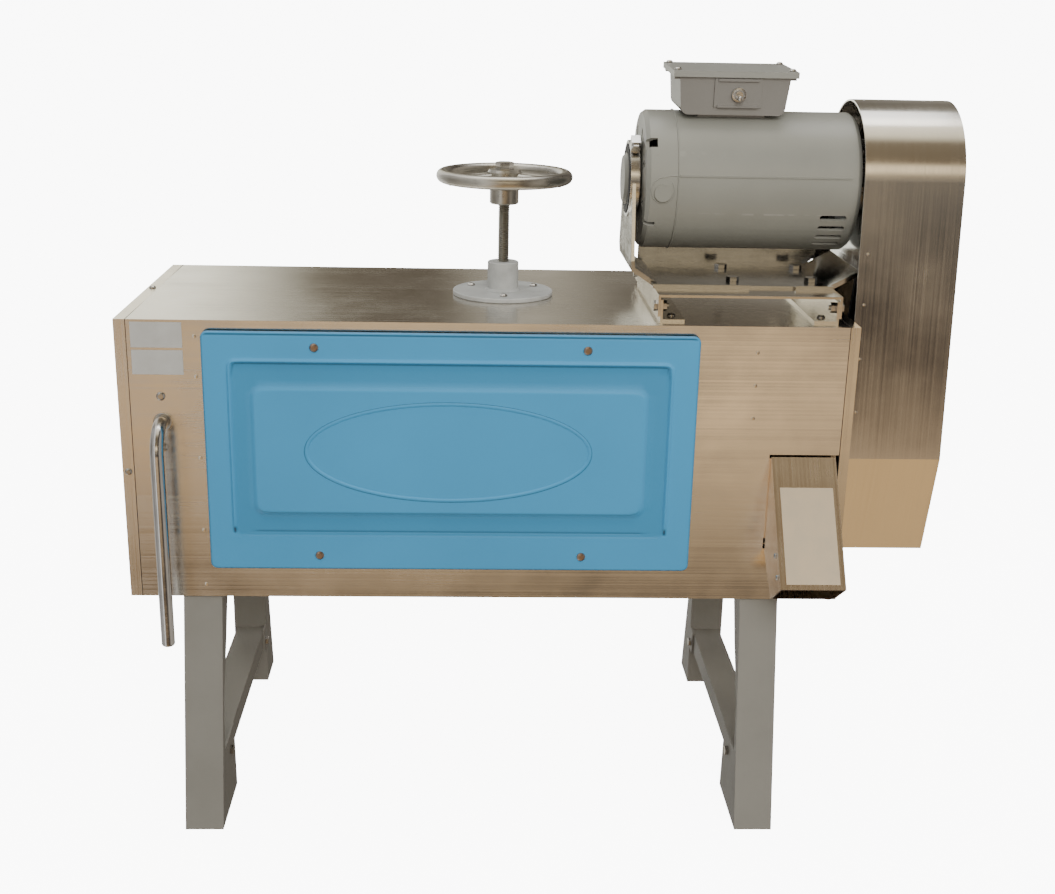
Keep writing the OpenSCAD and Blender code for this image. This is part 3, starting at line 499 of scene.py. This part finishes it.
def door_skin():
    x0, x1, z0, z1 = (v + side*DOOR_EDGE for v, side in zip(DOOR, (1, -1, 1, -1)))
    r = DOOR_CORNER - DOOR_EDGE
    xs = lines(x0, x1, (*BEAD[:2], *PANEL[:2]))
    zs = lines(z0, z1, (z0 + 3, 369, 377, *PANEL[2:4], BEAD[3], z1 - 2))
    nx, nz = len(xs), len(zs)
    mid, half = (x0 + x1)/2, (x1 - x0)/2
    # tone holds each point's painted shade for the door's blue
    verts, tone = [], []
    for z in zs:
        # rows near the foot and the top are drawn in to follow the round corners
        d = r - min(z - z0, z1 - z, r)
        k = (half - (r - sqrt(max(r*r - d*d, 0))))/half
        for x in xs:
            xx = mid + (x - mid)*k
            verts.append(pt(xx, DOOR_FACE - relief(xx, z), z))
            tone.append(painted_shade(xx, z))
    faces = [(a, a + 1, a + nx + 1, a + nx)
             for j in range(nz - 1) for a in range(j*nx, j*nx + nx - 1)]
    # round the edge: from the rim of the grid outwards and back, then along the return lip
    rim = list(range(nx)) + [j*nx + nx - 1 for j in range(1, nz)]
    rim += [(nz - 1)*nx + i for i in range(nx - 2, -1, -1)] + [j*nx for j in range(nz - 2, 0, -1)]
    base = [(verts[i].x*1000 + ORIGIN[0], verts[i].z*1000) for i in rim]

    def outward(x, z, e=.05):
        f = lambda a, b: sdf(a, b, x0, x1, z0, z1, r)
        return Vector((f(x + e, z) - f(x - e, z), f(x, z + e) - f(x, z - e))).normalized()

    out = [outward(x, z) for x, z in base]
    turns = [k/4*pi/2 for k in range(1, 5)]
    # each row: outward offset, depth, painted shade; the rolled edge gets 0.25 and the return lip
    # 0.45
    rows = [(DOOR_EDGE*sin(a), DOOR_FACE + DOOR_EDGE*(1 - cos(a)), 0.25) for a in turns]
    rows.append((DOOR_EDGE, None, 0.45))
    m, last = len(rim), rim
    for off, y, dark in rows:
        row = range(len(verts), len(verts) + m)
        for (x, z), n in zip(base, out):
            lip = SHORT_LIP if z > HINGE_FOOT else LIP
            verts.append(pt(x + n.x*off, lip if y is None else y, z + n.y*off))
            tone.append(dark)
        faces += [(last[i], row[i], row[(i + 1) % m], last[(i + 1) % m]) for i in range(m)]
        last = row
    o = piece("door_skin", verts, faces, M["door"], "door")
    set_painted_shade(o, tone)
    sheet = o.modifiers.new("sheet", "SOLIDIFY")
    sheet.thickness, sheet.offset = 0.0013, -1
    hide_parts("door_panel")


def door_oval():
    """The oval rim pressed into the raised panel."""
    cx, cz, a, b, face, n = 385, 477.5, 167, 59.5, -12.2, 128
    # offset from the oval, height, painted shade (deepest on the outer side of the rim)
    section = [(-3.2, -0.5, 0.25), (-2.2, 0.25, 0), (-1.2, 0.75, 0), (-0.4, 0.95, 0),
               (0.4, 0.95, 0), (1.2, 0.75, 0.1), (2.2, 0.25, 0.6), (3.2, -0.5, 0.75)]
    m, verts = len(section), []
    for i in range(n):
        t = 2*pi*i/n
        out = Vector((cos(t)*b, sin(t)*a)).normalized()
        for off, h, _ in section:
            verts.append(pt(cx + a*cos(t) + out.x*off, face - h, cz + b*sin(t) + out.y*off))
    faces = []
    for i in range(n):
        this, after = i*m, (i + 1) % n*m
        for j in range(m):
            k = (j + 1) % m
            faces.append((this + j, this + k, after + k, after + j))
    o = piece("door_oval", verts, faces, M["door"], "door")
    set_painted_shade(o, [oval_shade for _, _, oval_shade in section]*n)


door_skin()
door_oval()


# ---------- press screw: two-start thread, 2.5 mm pitch and 5 mm lead ----------
def ring(x, y, z, r, n):
    return [pt(x + r*cos(2*pi*i/n), y + r*sin(2*pi*i/n), z) for i in range(n)]


def press_thread():
    x, y, r, deep, lead, starts = 450, 174, 7.25, 1.05, 5.0, 2
    foot, z0, z1, collar, n = 594.3, 600, 796, 10, 28
    rows_in_a_turn = 12
    rows = int((z1 - z0)*rows_in_a_turn/lead)
    verts = []
    for j in range(rows + 1):
        z = z0 + (z1 - z0)*j/rows
        fade = step(z0, z0 + 4, z)*step(z1, z1 - 2, z)
        for i in range(n):
            t = 2*pi*i/n
            phase = ((z/lead - t/(2*pi))*starts) % 1.0
            crest = max(0, min(1, 2.6*abs(phase - 0.5) - 0.15))
            rr = r - deep*(1 - crest)*fade - 0.02
            verts.append(pt(x + rr*cos(t), y + rr*sin(t), z))
    faces = bands(rows, n)
    faces.append(tuple(range(rows*n, rows*n + n)))
    # the plain collar at the foot
    k = len(verts)
    verts += ring(x, y, z0, collar, n) + ring(x, y, foot, collar, n)
    for i in range(n):
        m = (i + 1) % n
        faces.append((k + i, k + m, m, i))
        faces.append((k + n + i, k + n + m, k + m, k + i))
    faces.append(tuple(reversed(range(k + n, k + 2*n))))
    o = piece("press_thread", verts, faces, M["thread"], "press_wheel")
    shading(o)
    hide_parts("press_screw")


press_thread()


# ---------- small marks: spot welds on the case, formed lines on the motor ----------
def button(bm, at, normal, r, h, n=14):
    """A low dome standing on a surface; mm."""
    q = Vector(normal).to_track_quat("Z", "Y")

    def raised(x, y, z):
        return bm.verts.new(pt(*at) + q @ Vector((x, y, z))/1000)

    turns = [2*pi*i/n for i in range(n)]
    rings = [[raised(r*k*cos(t), r*k*sin(t), h*v) for t in turns]
             for k, v in ((1.0, -0.15), (0.8, 0.55), (0.45, 0.9))]
    top = raised(0, 0, h)
    for a, b in zip(rings, rings[1:]):
        for i in range(n):
            bm.faces.new((a[i], a[(i + 1) % n], b[(i + 1) % n], b[i]))
    for i in range(n):
        bm.faces.new((rings[-1][i], rings[-1][(i + 1) % n], top))
    bm.faces.new(list(reversed(rings[0])))


def spot_welds():
    left, right, guard = 92, 745, 876
    bm = bmesh.new()
    for z in (612, 564, 465, 374, 304):
        button(bm, (left, 0, z), (0, -1, 0), 2.6, 0.45)
    for z in (600, 500, 400, 320):
        button(bm, (left, CASE_BACK, z), (0, 1, 0), 2.6, 0.45)
        button(bm, (right, CASE_BACK, z), (0, 1, 0), 2.6, 0.45)
    for z in (600, 560, 520):
        button(bm, (right, 0, z), (0, -1, 0), 2.4, 0.3)
    # the guard's front slopes forward from y 49.5 at z 787
    for z in (520, 585, 650, 710):
        button(bm, (guard, 49.5 - (787 - z)*0.066, z), (0, -1, 0.06), 2.0, 0.4)
    me = bpy.data.meshes.new("spot_welds")
    bm.to_mesh(me)
    fit_out(put("spot_welds", me), M["side"], "frame")


spot_welds()


def tube(name, path, r, material, closed=False, n=8):
    """Round bead along points already in the frame, part of the fixed frame; r in mm."""
    facing = Vector((0, -1, 0.3))
    verts, faces = [], []
    m = len(path)
    for i, p in enumerate(path):
        a = path[(i - 1) % m] if closed or i else p
        b = path[(i + 1) % m] if closed or i < m - 1 else p
        t = (b - a).normalized()
        side = t.cross(facing).normalized()
        up = side.cross(t).normalized()
        for k in range(n):
            u = 2*pi*k/n
            verts.append(p + (side*cos(u) + up*sin(u))*r/1000)
    for i in range(m if closed else m - 1):
        this, after = i*n, (i + 1) % m*n
        for k in range(n):
            nxt = (k + 1) % n
            faces.append((this + k, this + nxt, after + nxt, after + k))
    if not closed:
        faces += [tuple(reversed(range(n))), tuple(range((m - 1)*n, m*n))]
    piece(name, verts, faces, material, "frame")


def on_motor(x, z, lift=0.1):
    """Point on the front of the motor's shell at that height."""
    dz = z - MOTOR_Z
    return pt(x, MOTOR_Y - sqrt((MOTOR_R + lift)**2 - dz*dz), z)


def motor_lines():
    """The shell's seam, the left bell's edge, and a pressed line from the seam round the plug."""
    seam, bell, plug_x, plug_z = 795, 650.2, 632.5, 778
    turns = [pi/2 + 0.35 + 2*pi*i/40 for i in range(33)]
    path = [on_motor(x, seam) for x in (655, 648, 640)]
    path += [on_motor(plug_x + 13.5*cos(a), plug_z + 15*sin(a)) for a in turns]
    tube("plug_line", path, 0.7, M["motor"])
    r = MOTOR_R + 0.4
    turns = [2*pi*i/96 for i in range(96)]
    path = [pt(bell, MOTOR_Y - r*cos(a), MOTOR_Z + r*sin(a)) for a in turns]
    tube("bell_line", path, 0.8, M["motor"], closed=True)
    path = [on_motor(x, seam, 0.45) for x in range(652, 853, 8)]
    tube("seam_line", path, 0.9, M["crease"])


motor_lines()


# ---------- painted shadow: dark lines along the gaps where the end covers meet the case ---
def cover_gap_shadows(sunk=0.2):
    front, back = sunk, CASE_BACK - sunk
    foot, top = CASE_FOOT + sunk, CASE_TOP - sunk
    for name, x in COVER_JOINTS.items():
        loop = [pt(x, y, z) for y, z in ((front, foot), (front, top), (back, top), (back, foot))]
        # a dark bead laid in the joint: painted shadow of the gap
        tube(name, loop, 0.65, M["iron"], closed=True, n=6)


cover_gap_shadows()


# ---------- switch: turned bat and bushing nut, tilted with the box ----------
def lathe(name, origin, axis, profile, material, body, n=32):
    """Turned bright piece from (radius, distance along the axis) in mm."""
    q = Vector(axis).to_track_quat("Z", "Y")
    verts = []
    for r, h in profile:
        for i in range(n):
            t = 2*pi*i/n
            verts.append(origin + q @ Vector((r*cos(t), r*sin(t), h))/1000)
    m = len(profile)
    faces = bands(m - 1, n)
    # an open end gets a cap; one that runs to a point closes by welding
    point = 0.05
    if profile[0][0] > point:
        faces.append(tuple(reversed(range(n))))
    if profile[-1][0] > point:
        faces.append(tuple(range((m - 1)*n, m*n)))
    o = piece(name, verts, faces, material, body)
    weld(o, 0.000004)
    shading(o)
    return o


def tilted(x, y, z):
    """A point of the upright box, turned with the box about the motor's axis."""
    c, s = cos(BOX_TILT), sin(BOX_TILT)
    dy, dz = y - MOTOR_Y, z - MOTOR_Z
    return pt(x, MOTOR_Y + dy*c - dz*s, MOTOR_Z + dy*s + dz*c)


def forward(angle):
    """Towards the front, dipping by an angle."""
    return Vector((0, -cos(angle), -sin(angle)))


def switch():
    pivot, throw = tilted(720.5, 104, 888.5), radians(12)
    bat = [(0.01, -2.6), (1.8, -2.0), (2.5, -0.4), (2.4, 1), (1.9, 3), (2.3, 9),
           (3.0, 13.5), (3.15, 15.2), (2.7, 16.5), (1.6, 17.2), (0.01, 17.4)]
    nut = [(5.9, 6.6), (6.6, 6.6), (6.9, 6.3), (6.9, 4.6), (8.2, 4.4), (8.3, 3.9),
           (5.9, 3.9), (5.9, 6.6)]
    t = lathe("toggle_bat", pivot, forward(BOX_TILT + throw), bat, M["chrome"], "toggle")
    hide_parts("switch_toggle")
    lathe("toggle_nut", pivot, forward(BOX_TILT), nut, M["zinc"], "frame", n=36)


switch()


# ---------- stage, light, camera ----------
FLOOR_GLOW = 9.0


def grey(v):
    return (v, v, v)


def stage():
    """Pale floor that sweeps up into a plain backdrop; it lights nothing and is not mirrored."""
    turns = [pi/2*i/16 for i in range(1, 17)]
    bend = [(1.6 + 1.4*sin(a), 1.4*(1 - cos(a))) for a in turns]
    section = [(-7.0, 0.0), (1.6, 0.0), *bend, (3.0, 7.0)]
    verts = [(x, y, z - 0.0006) for y, z in section for x in (-9, 9)]
    faces = [(2*i, 2*i + 1, 2*i + 3, 2*i + 2) for i in range(len(section) - 1)]
    floor = put("floor", mesh("floor", verts, faces))
    m, nt, b = shader("floor_white", grey(0.9), 0.9, Emission_Strength=FLOOR_GLOW)
    b.inputs["Emission Color"].default_value = (1, 1, 1, 1)
    cloud = noise(nt, coords(nt), 3)
    finish(nt, b, Base_Color=ramp(nt, cloud, [(0.3, grey(0.90)), (0.7, grey(0.93))]))
    floor.data.materials.append(m)
    floor.visible_glossy = False
    floor.visible_diffuse = False


# What the metal mirrors, by height: degrees from the front horizon (0) over the top (90) to the
# back horizon (180). Warm below and in front, a soft light above the front and one overhead.
SKY = [(-90, (0.50, 0.35, 0.20)), (-60, (0.85, 0.57, 0.28)), (-42, (1.05, 0.69, 0.32)),
       (-28, (0.10, 0.08, 0.06)), (-22, (0.13, 0.10, 0.075)), (-19, (0.95, 0.70, 0.43)),
       (-13, (1.45, 1.08, 0.66)), (-9.5, (0.28, 0.215, 0.155)), (-6, (0.09, 0.07, 0.055)),
       (-1, (0.05, 0.045, 0.04)), (2, (0.42, 0.39, 0.34)), (6, (0.42, 0.36, 0.27)),
       (12, (0.60, 0.50, 0.34)), (15, (1.9, 1.6, 1.1)), (24, (1.9, 1.6, 1.1)),
       (28, (0.26, 0.205, 0.13)), (60, (0.28, 0.22, 0.14)), (71, (1.6, 1.45, 1.1)),
       (98, (2.2, 2.05, 1.75)), (108, (0.36, 0.33, 0.28)), (138, (0.34, 0.32, 0.26)),
       (150, (0.45, 0.43, 0.38)), (168, (0.75, 0.73, 0.66)), (184, (0.9, 0.9, 0.85)),
       (215, (0.2, 0.17, 0.14))]
# Across the back, from left to right: light, brown, light, brown.
BAND = [(0.0, (2.6, 2.65, 2.5)), (0.26, (2.5, 2.5, 2.3)), (0.37, (0.20, 0.17, 0.125)),
        (0.48, (0.13, 0.11, 0.08)), (0.53, (0.9, 0.86, 0.77)), (0.57, (0.75, 0.71, 0.63)),
        (0.63, (0.20, 0.18, 0.15)), (1.0, (0.7, 0.68, 0.64))]
# Across the front: gentle patches that the case's flat side picks up.
PATCH = [(0.0, (0.62, 0.55, 0.52)), (0.16, (0.72, 0.64, 0.60)), (0.21, (1.15, 1.03, 0.92)),
         (0.255, (0.50, 0.48, 0.46)), (0.30, (1.18, 1.12, 1.02)), (0.46, (0.98, 0.96, 0.93)),
         (0.60, (0.84, 0.84, 0.82)), (0.68, (1.18, 1.14, 1.06)), (0.78, (0.92, 0.88, 0.84)),
         (1.0, (0.8, 0.78, 0.76))]
# Far to the sides, beyond what the flat fronts mirror: a light screen on the left, a dark one
# on the right.
FLANK = [(0.0, (0.30, 0.28, 0.25)), (0.10, (0.75, 0.74, 0.72)), (0.16, (0.25, 0.23, 0.20)),
         (0.22, (1.9, 1.9, 1.85)), (0.31, (1.9, 1.88, 1.8)), (0.36, (0.5, 0.45, 0.38)),
         (0.64, (0.30, 0.25, 0.20)), (0.72, (0.06, 0.05, 0.045)), (0.80, (0.10, 0.09, 0.08)),
         (0.87, (0.75, 0.68, 0.58)), (1.0, (0.45, 0.42, 0.38))]
# What lights the matt surfaces, from below to above.
SOFT = [(0.0, (0.05, 0.045, 0.04)), (0.46, (0.06, 0.055, 0.05)), (0.66, (0.30, 0.30, 0.285)),
        (1.0, (0.72, 0.72, 0.70))]
MURK = (0.16, 0.13, 0.10)


def world():
    """Studio: SKY in the metal, SOFT on the rest, plain white behind the object."""
    w = bpy.data.worlds.new("studio")
    bpy.context.scene.world = w
    w.use_nodes = True
    nt = w.node_tree
    c, s = nt.nodes.new("ShaderNodeTexCoord"), nt.nodes.new("ShaderNodeSeparateXYZ")
    nt.links.new(c.outputs["Generated"], s.inputs[0])
    x, y, z = (s.outputs[k] for k in "XYZ")
    # a quarter is added so that the ramp starts straight below, at -90 degrees
    turn = math(nt, "ARCTAN2", z, math(nt, "MULTIPLY", y, -1.0))
    turn = math(nt, "DIVIDE", turn, 2*pi)
    turn = math(nt, "FRACT", math(nt, "ADD", turn, 0.25), 0.0)
    gloss = ramp(nt, turn, sorted(((degrees + 90) % 360/360, v) for degrees, v in SKY))
    band = ramp(nt, span(nt, x, -0.4, 0.4, 0, 1), BAND)
    gloss = mix(nt, span(nt, y, 0.5, 0.8, 0, 1), gloss, band, "MULTIPLY")
    patch = ramp(nt, span(nt, x, -0.4, 0.4, 0, 1), PATCH)
    gloss = mix(nt, span(nt, y, -0.5, -0.8, 0, 1), gloss, patch, "MULTIPLY")
    side = math(nt, "ABSOLUTE", x, 0.0)
    flank = ramp(nt, span(nt, x, -1, 1, 0, 1), FLANK)
    gloss = mix(nt, span(nt, side, 0.33, 0.40, 0, 1), gloss, flank)
    drift = noise(nt, stretched(nt, c.outputs["Generated"], (3.2, 0.5, 0.5)), 1.0, 3)
    gloss = mix(nt, span(nt, drift, 0.35, 0.62, 0.42, 0.0), gloss, MURK)
    soft = ramp(nt, span(nt, z, -1, 1, 0, 1), SOFT)
    ray = nt.nodes.new("ShaderNodeLightPath")
    lit = mix(nt, ray.outputs["Is Glossy Ray"], soft, gloss)
    seen = mix(nt, ray.outputs["Is Camera Ray"], lit, grey(FLOOR_GLOW))
    background = nt.nodes["Background"]
    nt.links.new(seen, background.inputs["Color"])
    background.inputs["Strength"].default_value = 1.0


def lamp(name, at, to, size, watts, colour=(1, 1, 1), mirrored=True):
    """Rectangular soft light aimed at a point; metres."""
    d = bpy.data.lights.new(name, "AREA")
    d.shape, d.size, d.size_y = "RECTANGLE", *size
    d.energy, d.color = watts, colour
    o = bpy.data.objects.new(name, d)
    o.location = at
    o.rotation_euler = (Vector(to) - Vector(at)).to_track_quat("-Z", "Y").to_euler()
    o.visible_glossy = mirrored
    bpy.context.scene.collection.objects.link(o)


def camera():
    """A little to the left of the middle, looking down and slightly to the right."""
    place = (-0.0848, -1.7519, 0.9869)
    yaw, pitch, roll = radians(2.03), radians(17.8), radians(-1.14)
    ahead = Vector((sin(yaw)*cos(pitch), cos(yaw)*cos(pitch), -sin(pitch)))
    level = Vector((cos(yaw), -sin(yaw), 0))
    below = ahead.cross(level)
    right, down = cos(roll)*level + sin(roll)*below, -sin(roll)*level + cos(roll)*below
    m = Matrix((right, -down, -ahead)).transposed().to_4x4()
    m.translation = place
    cam = bpy.data.cameras.new("camera")
    cam.sensor_width, cam.lens = 36, 48.288
    cam.shift_x, cam.shift_y = 0.01166, 0.00673
    o = bpy.data.objects.new("camera", cam)
    o.matrix_world = m
    bpy.context.scene.collection.objects.link(o)
    bpy.context.scene.camera = o


stage()
world()
lamp("key", (0.15, -2.9, 2.3), (0, 0, 0.45), (1.8, 1.4), 66, (1, 0.98, 0.93), False)
lamp("fill", (1.3, -2.6, 0.9), (0.1, 0, 0.5), (1.4, 1.0), 24, (1, 0.94, 0.84), False)
lamp("top", (0.0, 0.5, 2.9), (0, 0, 0.6), (2.4, 1.2), 22)
camera()
